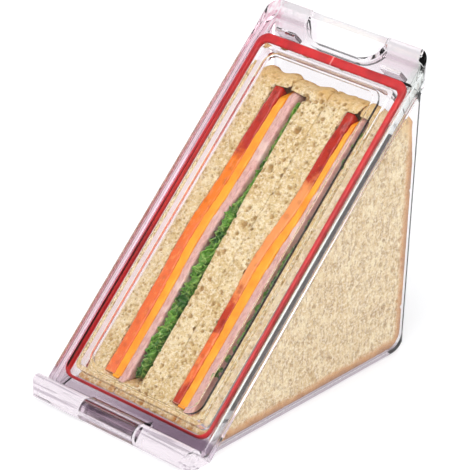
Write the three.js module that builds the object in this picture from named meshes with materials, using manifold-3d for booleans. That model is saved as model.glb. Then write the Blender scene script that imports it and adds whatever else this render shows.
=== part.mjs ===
// Sandwich wedge case. A clear moulded body holds two sandwich halves, a clear lid closes its
// slanted mouth and turns on a snap-on hinge at its lower edge, and a silicone gasket seals the
// two. Frame: X across the width, Y towards the back wall, Z up, origin on the table under the
// middle of the closed case. Millimetres.
//
// Places in the section are given either as (y, z), with y from the lid's lower edge and z from
// the table, or as (v, d), with v up the lid's outer face from its lower edge and d below it.

import * as THREE from 'three';
import { mergeVertices } from 'three/addons/utils/BufferGeometryUtils.js';
import Module from 'manifold-3d';

// Case
const CASE_WIDTH = 83;
const CASE_DEPTH = 130;
const CASE_HEIGHT = 133;
const LID_FOOT_HEIGHT = 5;
const WALL = 2;
const FLANGE_REACH = 2.8;
const FLANGE_THICKNESS = 2;
const BACK_CORNER_RADIUS = 6;
const HEEL_RADIUS = 8;
const SIDE_EDGE_ROUND = 1.4;
const MOUTH_CORNER_RADIUS = 0.8;
const FRONT_EDGE_SETBACK = 2.5;

// Edges shorter than this are merged away in a finished solid
const FINEST_EDGE = 0.01;

// Clearances
const RUNNING_GAP = 0.3;
const TONGUE_GAP = 0.4;

// Lid
const LID_PLATE = 2;
const SKIRT_DEPTH = 4.6;
const SKIRT_THICKNESS = 1.8;
const LID_EDGE_ROUND = 0.9;
const LID_LOWER_CORNER = 2.5;
const RIB_THICKNESS = 1.8;
const RIB_DEPTH = 7.5;
const WINDOW_INSET = 6.2;
const WINDOW_STEP = 1.4;
const WINDOW_CORNER = 4.5;
const WINDOW_LAND = 2;

// Finger notch
const NOTCH_WIDTH = 39;
const NOTCH_DEPTH = 12.2;
const NOTCH_RADIUS = 9.5;
const FINGER_WALL = 2;

// Snap tabs
const TAB_WIDTH = 10;
const TAB_THICKNESS = 1.6;
const TAB_CENTRE = 27;
const TAB_HOOK = 0.7;
const TAB_HOOK_HEIGHT = 1.2;
const CATCH_DEPTH = 6.2;

// Gasket
const GASKET_WIDTH = 4;
const GASKET_SIDE_WIDTH = 2.4;
const GASKET_FROM_SIDE = 3.5;
const GASKET_FROM_FOOT = 5.6;
const GASKET_CORNER = 5;
const GASKET_ROUND = 0.6;
const SEAL_OVERLAP = 1.3;

// Hinge
const BARREL_RADIUS = 4.7;
const BARREL_FROM_LID = 0.5;
const MIDDLE_KNUCKLE = 28;
const KNUCKLE_GAP = 0.4;
const BAR_RADIUS = 2;
const CLIP_WALL_TO_BAR = 0.25;
const CLIP_MOUTH = 3.3;
const WEB_REACH = 4;

// Sandwiches
const CUT_FACE_DEPTH = 10.6;
const SPACE_ABOVE_SANDWICHES = 25.2;
const BREAD_HEEL_RADIUS = 7;
const BREAD_TIP_RADIUS = 2.5;
const CRUST_RIM = 4.6;
const CHEESE_FROM_RIM = 1;
const HAM_FROM_RIM = 0.4;
const LETTUCE_FROM_RIM = 0.7;
const CHEESE_BELOW_TOP = 3;
const HAM_BELOW_TOP = 1.5;
const FILLING_CORNER = 5;
const CHEESE_CORNER = 1.25;
const TOMATO_RADIUS = 22.3;
const TOMATO_RISE = 1.2;
const LEAF_THICKNESS = 0.9;
const LEAF_WAVELENGTH = 9;

// Thickness of each filling at the low, middle and high station of the cut face
const FILLINGS_A = {
  tomato: [4.8, 4.4, 4.5],
  cheese: [3.4, 3.9, 3.7],
  ham: [3.1, 3.2, 3.9],
  lettuce: [6.6, 6.0, 2.6],
};
const FILLINGS_B = {
  tomato: [3.3, 3.6, 4.6],
  cheese: [3.7, 4.4, 2.3],
  ham: [3.7, 3.1, 2.5],
  lettuce: [1.9, 2.6, 1.6],
};
const STATIONS = [0.2, 0.5, 0.8];

// How the four bread slices share the width that the fillings leave, at each station
const BREAD_SHARES = [
  [0.25, 0.23, 0.25],
  [0.23, 0.23, 0.235],
  [0.19, 0.21, 0.235],
  [0.33, 0.33, 0.28],
];

// Sizes that follow
const SLOPE = Math.atan2(CASE_HEIGHT - LID_FOOT_HEIGHT, CASE_DEPTH);
const SLOPE_LENGTH = Math.hypot(CASE_HEIGHT - LID_FOOT_HEIGHT, CASE_DEPTH);
const HALF_WIDTH = CASE_WIDTH / 2;
const BODY_HALF = HALF_WIDTH - FLANGE_REACH;
const CAVITY_HALF = BODY_HALF - WALL;
const BACK_INNER = CASE_DEPTH - WALL;
const MOUTH_DEPTH = SKIRT_DEPTH + RUNNING_GAP;
const SANDWICH_HEIGHT = CASE_HEIGHT - SPACE_ABOVE_SANDWICHES;
const BEYOND = 12;

const GASKET_HALF = HALF_WIDTH - GASKET_FROM_SIDE;
const MOUTH_LOW = GASKET_FROM_FOOT + SEAL_OVERLAP;
const FINGER_WALL_OUTER = SLOPE_LENGTH - NOTCH_DEPTH - SKIRT_THICKNESS;
const FINGER_WALL_INNER = FINGER_WALL_OUTER - FINGER_WALL;
const MOUTH_HIGH = FINGER_WALL_INNER;
const GASKET_HIGH = MOUTH_HIGH + SEAL_OVERLAP;
const RIB_HALF = GASKET_HALF - GASKET_WIDTH - RUNNING_GAP;
const RIB_LOW = GASKET_FROM_FOOT + GASKET_WIDTH + RUNNING_GAP;
const RIB_HIGH = GASKET_HIGH - GASKET_WIDTH - RUNNING_GAP;
const RIB_CORNER = GASKET_CORNER - GASKET_WIDTH / 2;

const HINGE_Y = -(BARREL_RADIUS + BARREL_FROM_LID);
const HINGE_Z = LID_FOOT_HEIGHT;
const FRONT_REACH = BARREL_RADIUS - HINGE_Y;
const KNUCKLE_START = MIDDLE_KNUCKLE / 2 + KNUCKLE_GAP;

const wasm = await Module();
wasm.setup();

// Frames: columns give the directions of a shape's x, its y and its extrusion
const ALONG_SLOPE = new THREE.Vector3(0, Math.cos(SLOPE), Math.sin(SLOPE));
const OFF_SLOPE = new THREE.Vector3(0, -Math.sin(SLOPE), Math.cos(SLOPE));
const AXIS_X = new THREE.Vector3(1, 0, 0);
const AXIS_Y = new THREE.Vector3(0, 1, 0);
const AXIS_Z = new THREE.Vector3(0, 0, 1);
const SIDE_FRAME = new THREE.Matrix4().makeBasis(AXIS_Y, AXIS_Z, AXIS_X);
const PLAN_FRAME = new THREE.Matrix4();
const SLOPE_FRAME = new THREE.Matrix4()
  .makeBasis(AXIS_X, ALONG_SLOPE, OFF_SLOPE)
  .setPosition(0, 0, LID_FOOT_HEIGHT);

// The (y, z) place of a point v up the lid's outer face and d below it
function slopePoint(v, d) {
  const y = v * Math.cos(SLOPE) + d * Math.sin(SLOPE);
  const z = LID_FOOT_HEIGHT + v * Math.sin(SLOPE) - d * Math.cos(SLOPE);
  return new THREE.Vector2(y, z);
}

// How far below the lid's outer face the line at v meets the upright plane at y
function depthAtWall(v, y) {
  return (y - v * Math.cos(SLOPE)) / Math.sin(SLOPE);
}

// How far up the lid's outer face the plane at depth d meets the level z
function reachAtLevel(d, z) {
  return (z - LID_FOOT_HEIGHT + d * Math.cos(SLOPE)) / Math.sin(SLOPE);
}

// A closed geometry as a solid that can be joined and cut
function solidOf(geometry) {
  geometry.deleteAttribute('normal');
  geometry.deleteAttribute('uv');
  const welded = mergeVertices(geometry, 1e-4);
  const vertProperties = new Float32Array(welded.attributes.position.array);
  const triVerts = new Uint32Array(welded.index.array);
  return new wasm.Manifold(new wasm.Mesh({ numProp: 3, vertProperties, triVerts }));
}

// A loop of points without the repeats where an arc meets a line
function distinct(points) {
  return points.filter((point, index) => {
    const before = points[(index + points.length - 1) % points.length];
    return point.distanceTo(before) > 1e-4;
  });
}

// A shape extruded from one place to another in the given frame, with its end edges rounded
function prism(shape, frame, from, to, round = 0, curveSegments = 6) {
  const outline = new THREE.Shape(distinct(shape.getPoints(curveSegments)));
  outline.holes = shape.holes.map((hole) => new THREE.Path(distinct(hole.getPoints(curveSegments))));
  const geometry = new THREE.ExtrudeGeometry(outline, {
    depth: to - from - 2 * round,
    bevelEnabled: round > 0,
    bevelThickness: round,
    bevelSize: round,
    bevelOffset: -round,
    bevelSegments: 3,
  });
  geometry.translate(0, 0, from + round);
  geometry.applyMatrix4(frame);
  return solidOf(geometry);
}

// A solid across the width, from its section in (y, z)
function acrossWidth(shape, half, round = 0, curveSegments = 6) {
  return prism(shape, SIDE_FRAME, -half, half, round, curveSegments);
}

// A solid between two depths below the lid's outer face, from its outline in (x, v)
function belowLid(shape, near, far, round = 0, curveSegments = 6) {
  return prism(shape, SLOPE_FRAME, -far, -near, round, curveSegments);
}

// A rectangle with its own radius at each end's corners
function roundedRectangle(half, low, high, lowRadius, highRadius = lowRadius) {
  const shape = new THREE.Shape();
  shape.absarc(half - lowRadius, low + lowRadius, lowRadius, -Math.PI / 2, 0, false);
  shape.absarc(half - highRadius, high - highRadius, highRadius, 0, Math.PI / 2, false);
  shape.absarc(-half + highRadius, high - highRadius, highRadius, Math.PI / 2, Math.PI, false);
  shape.absarc(-half + lowRadius, low + lowRadius, lowRadius, Math.PI, 1.5 * Math.PI, false);
  return shape;
}

// The upright column inside which the lid, the flange and the hinge lie, drawn in by an inset
function planColumn(half, inset) {
  const cornerRadius = BACK_CORNER_RADIUS - (HALF_WIDTH - half);
  const outline = roundedRectangle(
    half, -FRONT_REACH, CASE_DEPTH - inset, BARREL_RADIUS, Math.max(cornerRadius, WALL / 2),
  );
  return prism(outline, PLAN_FRAME, 0, CASE_HEIGHT + BEYOND);
}

function polygon(points) {
  return new THREE.Shape(points);
}

function disc(x, y, radius) {
  const shape = new THREE.Shape();
  shape.absarc(x, y, radius, 0, 2 * Math.PI, false);
  return shape;
}

// Section of the body's outer wall: floor, rounded heel and back wall, up into the flange
function bodySection() {
  const intoFlange = MOUTH_DEPTH + FLANGE_THICKNESS / 2;
  const frontTip = slopePoint(reachAtLevel(intoFlange, 0), intoFlange);
  const topAtBack = slopePoint((CASE_DEPTH - intoFlange * Math.sin(SLOPE)) / Math.cos(SLOPE), intoFlange);
  const shape = new THREE.Shape();
  shape.moveTo(frontTip.x, frontTip.y);
  shape.lineTo(CASE_DEPTH - HEEL_RADIUS, 0);
  shape.absarc(CASE_DEPTH - HEEL_RADIUS, HEEL_RADIUS, HEEL_RADIUS, -Math.PI / 2, 0, false);
  shape.lineTo(topAtBack.x, topAtBack.y);
  return shape;
}

// Section of what is cut away in front of the body's blunt front edge
function frontTrimSection() {
  return polygon([
    new THREE.Vector2(-BEYOND, -1),
    new THREE.Vector2(FRONT_EDGE_SETBACK, -1),
    new THREE.Vector2(FRONT_EDGE_SETBACK, BEYOND),
    new THREE.Vector2(-BEYOND, BEYOND),
  ]);
}

// Where the mouth plane meets the body's front edge and the outer face of the back wall
function reachAtFront() {
  return (FRONT_EDGE_SETBACK - MOUTH_DEPTH * Math.sin(SLOPE)) / Math.cos(SLOPE);
}

function reachAtBack() {
  return (CASE_DEPTH - MOUTH_DEPTH * Math.sin(SLOPE)) / Math.cos(SLOPE);
}

// Section of the space for the sandwiches, open past the mouth
function cavitySection() {
  const heel = HEEL_RADIUS - WALL;
  const frontDepth = (LID_FOOT_HEIGHT + MOUTH_LOW * Math.sin(SLOPE) - WALL) / Math.cos(SLOPE);
  const front = slopePoint(MOUTH_LOW, frontDepth);
  const top = slopePoint(MOUTH_HIGH, depthAtWall(MOUTH_HIGH, BACK_INNER));
  const topOut = slopePoint(MOUTH_HIGH, -BEYOND);
  const frontOut = slopePoint(MOUTH_LOW, -BEYOND);
  const shape = new THREE.Shape();
  shape.moveTo(frontOut.x, frontOut.y);
  shape.lineTo(front.x, front.y);
  shape.absarc(BACK_INNER - heel, WALL + heel, heel, -Math.PI / 2, 0, false);
  shape.lineTo(top.x, top.y);
  shape.lineTo(topOut.x, topOut.y);
  return shape;
}

// Section of the finger pocket between the finger wall and the back wall
function pocketSection() {
  const bottom = slopePoint(FINGER_WALL_OUTER, depthAtWall(FINGER_WALL_OUTER, BACK_INNER));
  const out = slopePoint(FINGER_WALL_OUTER, -BEYOND);
  return polygon([
    bottom,
    new THREE.Vector2(BACK_INNER, CASE_HEIGHT + BEYOND),
    new THREE.Vector2(out.x, CASE_HEIGHT + BEYOND),
    out,
  ]);
}

// Section of the flange round the mouth
function flangeSection() {
  const low = reachAtFront();
  const high = reachAtBack();
  return polygon([
    slopePoint(low, MOUTH_DEPTH),
    slopePoint(low, MOUTH_DEPTH + FLANGE_THICKNESS),
    slopePoint(high, MOUTH_DEPTH + FLANGE_THICKNESS),
    slopePoint(high, MOUTH_DEPTH),
  ]);
}

// Section of the tongue that carries the back wall up into the lid's finger notch
function tongueSection() {
  const innerTop = (BACK_INNER - RUNNING_GAP * Math.sin(SLOPE)) / Math.cos(SLOPE);
  const outerTop = (CASE_DEPTH - RUNNING_GAP * Math.sin(SLOPE)) / Math.cos(SLOPE);
  const root = slopePoint(reachAtBack(), MOUTH_DEPTH + WALL * 2);
  return polygon([
    new THREE.Vector2(BACK_INNER, root.y),
    new THREE.Vector2(CASE_DEPTH, root.y),
    slopePoint(outerTop, RUNNING_GAP),
    slopePoint(innerTop, RUNNING_GAP),
  ]);
}

// Section of the foot that joins an outer knuckle to the floor, in front of the lid's end face
function footSection() {
  const clearOfLid = -RUNNING_GAP;
  return polygon([
    new THREE.Vector2(HINGE_Y, 0),
    new THREE.Vector2(FRONT_EDGE_SETBACK + WALL, 0),
    slopePoint(reachAtFront() + WALL, MOUTH_DEPTH),
    slopePoint(clearOfLid, MOUTH_DEPTH),
    slopePoint(clearOfLid, LID_EDGE_ROUND),
    new THREE.Vector2(HINGE_Y, HINGE_Z),
  ]);
}

// The catch ridges on the finger wall, one for each snap tab
function catchSection() {
  const inside = FINGER_WALL_OUTER - FINGER_WALL / 2;
  return polygon([
    slopePoint(inside, CATCH_DEPTH - TAB_HOOK),
    slopePoint(FINGER_WALL_OUTER, CATCH_DEPTH - TAB_HOOK),
    slopePoint(FINGER_WALL_OUTER + TAB_HOOK, CATCH_DEPTH),
    slopePoint(FINGER_WALL_OUTER + TAB_HOOK, CATCH_DEPTH + TAB_HOOK_HEIGHT / 2),
    slopePoint(inside, CATCH_DEPTH + TAB_HOOK_HEIGHT / 2),
  ]);
}

function bodyShell() {
  const round = SIDE_EDGE_ROUND;
  const outer = acrossWidth(bodySection(), BODY_HALF, round)
    .intersect(planColumn(BODY_HALF, 0))
    .subtract(acrossWidth(frontTrimSection(), HALF_WIDTH));
  const mouth = roundedRectangle(CAVITY_HALF, MOUTH_LOW, MOUTH_HIGH, MOUTH_CORNER_RADIUS);
  const deep = CASE_HEIGHT + CASE_DEPTH;
  const cavity = acrossWidth(cavitySection(), CAVITY_HALF).intersect(belowLid(mouth, -BEYOND, deep));
  const pocket = acrossWidth(pocketSection(), CAVITY_HALF);
  const flange = acrossWidth(flangeSection(), HALF_WIDTH).intersect(planColumn(HALF_WIDTH, 0));
  const tongue = acrossWidth(tongueSection(), NOTCH_WIDTH / 2)
    .intersect(belowLid(notchOutline(-TONGUE_GAP), 0, SKIRT_DEPTH * 2));
  let shell = outer.add(flange).subtract(cavity).subtract(pocket).add(tongue);

  const knuckleLength = [KNUCKLE_START, HALF_WIDTH];
  const barrel = disc(HINGE_Y, HINGE_Z, BARREL_RADIUS);
  const hingeColumn = planColumn(HALF_WIDTH, 0);
  for (const side of [-1, 1]) {
    const [from, to] = knuckleLength.map((x) => side * x).sort((a, b) => a - b);
    const knuckle = prism(barrel, SIDE_FRAME, from, to, 0, 14);
    const foot = prism(footSection(), SIDE_FRAME, from, to);
    shell = shell.add(knuckle.add(foot).intersect(hingeColumn));
    const ridgeFrom = side * TAB_CENTRE - TAB_WIDTH / 2;
    shell = shell.add(prism(catchSection(), SIDE_FRAME, ridgeFrom, ridgeFrom + TAB_WIDTH));
  }
  const bar = acrossWidth(disc(HINGE_Y, HINGE_Z, BAR_RADIUS), KNUCKLE_START + KNUCKLE_GAP, 0, 10);
  return shell.add(bar);
}

// Outline of the finger notch in (x, v), drawn outwards by an offset, open past the upper edge
function notchOutline(offset) {
  const half = NOTCH_WIDTH / 2 + offset;
  const low = SLOPE_LENGTH - NOTCH_DEPTH - offset;
  return roundedRectangle(half, low, SLOPE_LENGTH + BEYOND, NOTCH_RADIUS + offset, WALL);
}

// Middle hinge knuckle: a barrel with a bore and a mouth below, that snaps over the body's bar
function hingeClip() {
  const half = MIDDLE_KNUCKLE / 2;
  const barrel = acrossWidth(disc(HINGE_Y, HINGE_Z, BARREL_RADIUS), half, 0, 14);
  const centre = new THREE.Vector2(HINGE_Y, HINGE_Z);
  const onPlate = slopePoint(WEB_REACH, LID_EDGE_ROUND / 2);
  const toPlate = onPlate.clone().sub(centre);
  const tangentTurn = toPlate.angle() + Math.acos(BARREL_RADIUS / toPlate.length());
  const crown = new THREE.Vector2(Math.cos(tangentTurn), Math.sin(tangentTurn))
    .multiplyScalar(BARREL_RADIUS)
    .add(centre);
  const web = polygon([onPlate, crown, centre, slopePoint(SKIRT_THICKNESS / 2, SKIRT_DEPTH - 0.6)]);
  const bore = acrossWidth(disc(HINGE_Y, HINGE_Z, BAR_RADIUS + CLIP_WALL_TO_BAR), half + 1, 0, 10);
  const lip = CLIP_MOUTH / 2;
  const mouth = acrossWidth(polygon([
    new THREE.Vector2(HINGE_Y - lip, HINGE_Z),
    new THREE.Vector2(HINGE_Y - lip, HINGE_Z - BAR_RADIUS),
    new THREE.Vector2(HINGE_Y - BAR_RADIUS - lip, HINGE_Z - BARREL_RADIUS - 1),
    new THREE.Vector2(HINGE_Y + BAR_RADIUS + lip, HINGE_Z - BARREL_RADIUS - 1),
    new THREE.Vector2(HINGE_Y + lip, HINGE_Z - BAR_RADIUS),
    new THREE.Vector2(HINGE_Y + lip, HINGE_Z),
  ]), half + 1);
  return barrel.add(acrossWidth(web, half)).subtract(bore).subtract(mouth);
}

// Snap tab under the plate, with a hook that catches below the body's ridge
function tabSection() {
  const face = FINGER_WALL_OUTER + TAB_HOOK + RUNNING_GAP;
  const hookTop = CATCH_DEPTH + TAB_HOOK_HEIGHT / 2 + RUNNING_GAP;
  return polygon([
    slopePoint(face, LID_PLATE / 2),
    slopePoint(face, hookTop),
    slopePoint(face - TAB_HOOK, hookTop),
    slopePoint(face, hookTop + TAB_HOOK_HEIGHT),
    slopePoint(face + TAB_THICKNESS, hookTop + TAB_HOOK_HEIGHT),
    slopePoint(face + TAB_THICKNESS, LID_PLATE / 2),
  ]);
}

function lidSolid() {
  const high = SLOPE_LENGTH + BEYOND;
  const outline = roundedRectangle(HALF_WIDTH, 0, high, LID_LOWER_CORNER, WALL);
  const blank = belowLid(outline, 0, SKIRT_DEPTH, LID_EDGE_ROUND).intersect(planColumn(HALF_WIDTH, 0));
  const insideHalf = HALF_WIDTH - SKIRT_THICKNESS;
  const inside = roundedRectangle(insideHalf, SKIRT_THICKNESS, high, LID_LOWER_CORNER / 2, WALL);
  const hollow = belowLid(inside, LID_PLATE, SKIRT_DEPTH + 1)
    .intersect(planColumn(insideHalf, SKIRT_THICKNESS));
  const collar = belowLid(notchOutline(SKIRT_THICKNESS), LID_PLATE / 2, SKIRT_DEPTH).intersect(blank);
  const notch = belowLid(notchOutline(0), -1, SKIRT_DEPTH + 1);
  let lid = blank.subtract(hollow).add(collar).subtract(notch);

  const windowHalf = RIB_HALF - WINDOW_INSET;
  const windowLow = RIB_LOW + WINDOW_INSET - RIB_THICKNESS;
  const windowHigh = RIB_HIGH - WINDOW_INSET + RIB_THICKNESS;
  const window = roundedRectangle(windowHalf, windowLow, windowHigh, WINDOW_CORNER);
  const land = roundedRectangle(
    windowHalf + WINDOW_LAND, windowLow - WINDOW_LAND, windowHigh + WINDOW_LAND,
    WINDOW_CORNER + WINDOW_LAND,
  );
  lid = lid.add(belowLid(land, WINDOW_STEP, WINDOW_STEP + LID_PLATE));
  lid = lid.subtract(belowLid(window, -1, WINDOW_STEP));

  const ribOuter = roundedRectangle(RIB_HALF, RIB_LOW, RIB_HIGH, RIB_CORNER);
  const ribInner = roundedRectangle(
    RIB_HALF - RIB_THICKNESS, RIB_LOW + RIB_THICKNESS, RIB_HIGH - RIB_THICKNESS,
    RIB_CORNER - RIB_THICKNESS / 2,
  );
  const rib = belowLid(ribOuter, LID_PLATE / 2, RIB_DEPTH)
    .subtract(belowLid(ribInner, LID_PLATE / 4, RIB_DEPTH + 1));
  lid = lid.add(rib).add(hingeClip());

  for (const side of [-1, 1]) {
    const tabFrom = side * TAB_CENTRE - TAB_WIDTH / 2;
    lid = lid.add(prism(tabSection(), SIDE_FRAME, tabFrom, tabFrom + TAB_WIDTH));
  }
  return lid;
}

function gasketSolid() {
  const outline = roundedRectangle(GASKET_HALF, GASKET_FROM_FOOT, GASKET_HIGH, GASKET_CORNER);
  const hole = roundedRectangle(
    GASKET_HALF - GASKET_SIDE_WIDTH, GASKET_FROM_FOOT + GASKET_SIDE_WIDTH,
    GASKET_HIGH - GASKET_WIDTH, RIB_CORNER + RUNNING_GAP,
  );
  outline.holes.push(new THREE.Path(hole.getPoints(6)));
  return belowLid(outline, LID_PLATE + RUNNING_GAP, SKIRT_DEPTH, GASKET_ROUND);
}

// Section of a slice: floor edge, rounded heel, back edge, blunt top and slanted cut face
function wedgeOutline(inset, heel, tip, belowTop = 0, cut = CUT_FACE_DEPTH) {
  const floor = WALL + RUNNING_GAP + inset;
  const back = BACK_INNER - RUNNING_GAP - inset;
  const top = SANDWICH_HEIGHT - inset - belowTop;
  const front = slopePoint(Math.max(MOUTH_LOW + RUNNING_GAP, reachAtLevel(cut, floor)), cut);
  const peak = slopePoint(reachAtLevel(cut, top), cut);
  const shape = new THREE.Shape();
  shape.moveTo(front.x, front.y);
  shape.lineTo(front.x + tip, floor);
  shape.absarc(back - heel, floor + heel, heel, -Math.PI / 2, 0, false);
  shape.absarc(back - tip, top - tip, tip, 0, Math.PI / 2, false);
  shape.lineTo(peak.x + tip / 2, top);
  shape.lineTo(peak.x - tip / 2 * Math.cos(SLOPE), top - tip / 2 * Math.sin(SLOPE));
  return shape;
}

// The stack of layers across the width: each boundary is a row of x places, one per station
function layerBoundaries() {
  const orderedFillings = ['tomato', 'cheese', 'ham', 'lettuce'];
  const layers = [
    { bread: 0 },
    ...orderedFillings.map((kind) => ({ thickness: FILLINGS_A[kind], name: `${kind}_a` })),
    { bread: 1 },
    { bread: 2 },
    ...orderedFillings.map((kind) => ({ thickness: FILLINGS_B[kind], name: `${kind}_b` })),
    { bread: 3 },
  ];
  const available = 2 * (CAVITY_HALF - RUNNING_GAP);
  const gaps = RUNNING_GAP * (layers.length - 1);
  const cuts = {};
  STATIONS.forEach((station, index) => {
    const filled = layers.reduce((sum, layer) => sum + (layer.thickness?.[index] ?? 0), 0);
    const forBread = available - gaps - filled;
    let x = -available / 2;
    for (const layer of layers) {
      const share = layer.thickness?.[index] ?? BREAD_SHARES[layer.bread][index] * forBread;
      const name = layer.name ?? `bread_${layer.bread + 1}`;
      cuts[name] ??= { low: [], high: [] };
      cuts[name].low.push(x);
      cuts[name].high.push(x + share);
      x += share + RUNNING_GAP;
    }
  });
  return cuts;
}

// Places up the lid's outer face where the cut face starts and ends
const CUT_START = MOUTH_LOW;
const CUT_LENGTH = reachAtLevel(CUT_FACE_DEPTH, SANDWICH_HEIGHT) - CUT_START;

// A smooth curve through a boundary's three stations, held level past the outer ones
function boundaryCurve(places) {
  const ends = [-1, ...STATIONS, 2];
  const held = [places[0], ...places, places[2]];
  const points = held.map((x, index) => new THREE.Vector2(x, CUT_START + ends[index] * CUT_LENGTH));
  return new THREE.SplineCurve(points);
}

// The slab between two boundaries, from the cut face down through the wedge
function layerSlab(boundary) {
  const steps = 18;
  const low = boundaryCurve(boundary.low).getPoints(steps);
  const high = boundaryCurve(boundary.high).getPoints(steps).reverse();
  return belowLid(polygon([...high, ...low]), 0, CASE_HEIGHT + CASE_DEPTH);
}

// What two bread slices and their crusts enclose, drawn in by a further inset
function fillingOutline(inset, corner, belowTop = 0) {
  return wedgeOutline(CRUST_RIM + inset, corner, Math.min(corner, BREAD_TIP_RADIUS), belowTop);
}

// Bread that lies against the fillings, and spreads past their edges to meet the next slice
function breadSlice(boundary, spread) {
  const whole = acrossWidth(wedgeOutline(0, BREAD_HEEL_RADIUS, BREAD_TIP_RADIUS), HALF_WIDTH);
  const opened = wedgeOutline(CRUST_RIM, CHEESE_CORNER, CHEESE_CORNER, 0, CUT_FACE_DEPTH - WALL);
  const enclosed = acrossWidth(opened, HALF_WIDTH + BEYOND);
  const rim = whole.subtract(enclosed).intersect(layerSlab(spread));
  return whole.intersect(layerSlab(boundary)).add(rim);
}

// Where the crusts of two slices meet, midway across the fillings between them
function seamBetween(left, right) {
  return left.high.map((x, index) => (x + right.low[index]) / 2);
}

function filling(boundary, inset, corner, belowTop) {
  return acrossWidth(fillingOutline(inset, corner, belowTop), HALF_WIDTH).intersect(layerSlab(boundary));
}

// Half of a round slice, cut through at the cut face
function tomatoSlice(boundary, centre) {
  const place = slopePoint(centre, CUT_FACE_DEPTH);
  const round = acrossWidth(disc(place.x, place.y, TOMATO_RADIUS), HALF_WIDTH, 0, 18);
  return round.intersect(filling(boundary, RUNNING_GAP, FILLING_CORNER));
}

// A ruffled leaf: a wavy ribbon in the cut face, carried down through the wedge
function lettuceLeaf(boundary, leaf, leafCount) {
  const low = boundaryCurve(boundary.low);
  const high = boundaryCurve(boundary.high);
  const steps = Math.round(CUT_LENGTH * 3 / LEAF_WAVELENGTH * 8 / 3);
  const near = [];
  const far = [];
  const stack = leafCount * LEAF_THICKNESS + (leafCount - 1) * RUNNING_GAP;
  for (let step = 0; step <= steps; step += 1) {
    const t = step / steps;
    const left = low.getPoint(t);
    const right = high.getPoint(t);
    const swing = Math.max(right.x - left.x - stack, 0) / 2;
    const wave = swing * (1 + Math.sin(2 * Math.PI * left.y / LEAF_WAVELENGTH));
    const x = left.x + wave + leaf * (LEAF_THICKNESS + RUNNING_GAP);
    near.push(new THREE.Vector2(x, left.y));
    far.unshift(new THREE.Vector2(x + LEAF_THICKNESS, left.y));
  }
  const ribbon = belowLid(polygon([...far, ...near]), 0, CASE_HEIGHT + CASE_DEPTH);
  return acrossWidth(fillingOutline(LETTUCE_FROM_RIM, FILLING_CORNER), HALF_WIDTH).intersect(ribbon);
}

const CLEAR_PLASTIC = { color: 0xeef3f4, roughness: 0.08, metalness: 0 };
const SILICONE = { color: 0xdb2f2f, roughness: 0.45, metalness: 0 };
const BREAD = { color: 0xead6ac, roughness: 0.9, metalness: 0 };
const TOMATO = { color: 0xd8401c, roughness: 0.35, metalness: 0 };
const CHEESE = { color: 0xffa726, roughness: 0.5, metalness: 0 };
const HAM = { color: 0xe3b1a6, roughness: 0.55, metalness: 0 };
const LETTUCE = { color: 0x3c7d24, roughness: 0.6, metalness: 0 };

// A named mesh from a solid, with its geometry measured from the given pivot
function meshOf(name, solid, finish, pivot = new THREE.Vector3()) {
  const { vertProperties, triVerts } = solid.simplify(FINEST_EDGE).getMesh();
  const indexed = new THREE.BufferGeometry();
  indexed.setAttribute('position', new THREE.BufferAttribute(vertProperties, 3));
  indexed.setIndex(new THREE.BufferAttribute(triVerts, 1));
  const geometry = indexed.toNonIndexed();
  geometry.translate(-pivot.x, -pivot.y, -pivot.z);
  geometry.computeVertexNormals();
  const mesh = new THREE.Mesh(geometry, new THREE.MeshStandardMaterial(finish));
  mesh.name = name;
  return mesh;
}

function sandwich(letter, breadNumbers, cuts, leafCount) {
  const group = new THREE.Group();
  const [left, right] = breadNumbers.map((number) => cuts[`bread_${number}`]);
  const seam = seamBetween(left, right);
  const leftSpread = { low: left.low, high: seam.map((x) => x - RUNNING_GAP / 2) };
  const rightSpread = { low: seam.map((x) => x + RUNNING_GAP / 2), high: right.high };
  group.add(meshOf(`bread_slice_${breadNumbers[0]}`, breadSlice(left, leftSpread), BREAD));
  group.add(meshOf(`bread_slice_${breadNumbers[1]}`, breadSlice(right, rightSpread), BREAD));
  const middle = CUT_START + CUT_LENGTH / 2 + TOMATO_RISE;
  for (const place of [1, 2, 3]) {
    const centre = middle + (place - 2) * (2 * TOMATO_RADIUS + RUNNING_GAP);
    const solid = tomatoSlice(cuts[`tomato_${letter}`], centre);
    group.add(meshOf(`tomato_slice_${letter}${place}`, solid, TOMATO));
  }
  const cheese = filling(cuts[`cheese_${letter}`], CHEESE_FROM_RIM, CHEESE_CORNER, CHEESE_BELOW_TOP);
  group.add(meshOf(`cheese_slice_${letter}`, cheese, CHEESE));
  const ham = filling(cuts[`ham_${letter}`], HAM_FROM_RIM, FILLING_CORNER, HAM_BELOW_TOP);
  group.add(meshOf(`ham_slice_${letter}`, ham, HAM));
  for (let leaf = 0; leaf < leafCount; leaf += 1) {
    const solid = lettuceLeaf(cuts[`lettuce_${letter}`], leaf, leafCount);
    const suffix = leafCount > 1 ? leaf + 1 : '';
    group.add(meshOf(`lettuce_leaf_${letter}${suffix}`, solid, LETTUCE));
  }
  return group;
}

// The lid and its gasket turn about the hinge axis
function lidAssembly() {
  const hinge = new THREE.Vector3(0, HINGE_Y, HINGE_Z);
  const group = new THREE.Group();
  group.position.copy(hinge);
  group.add(meshOf('lid', lidSolid(), CLEAR_PLASTIC, hinge));
  group.add(meshOf('gasket', gasketSolid(), SILICONE, hinge));
  return group;
}

const closedCase = new THREE.Group();
closedCase.position.y = (FRONT_REACH - CASE_DEPTH) / 2;
const cuts = layerBoundaries();
closedCase.add(meshOf('body_shell', bodyShell(), CLEAR_PLASTIC));
closedCase.add(lidAssembly());
closedCase.add(sandwich('a', [1, 2], cuts, 2));
closedCase.add(sandwich('b', [3, 4], cuts, 1));

const part = new THREE.Group();
part.add(closedCase);

export default part;
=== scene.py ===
"""Looks for the sandwich wedge case: clear plastic shell and lid, red gasket, bread and fillings."""

import logging
import math
from dataclasses import dataclass
from enum import Enum
from functools import reduce

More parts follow.
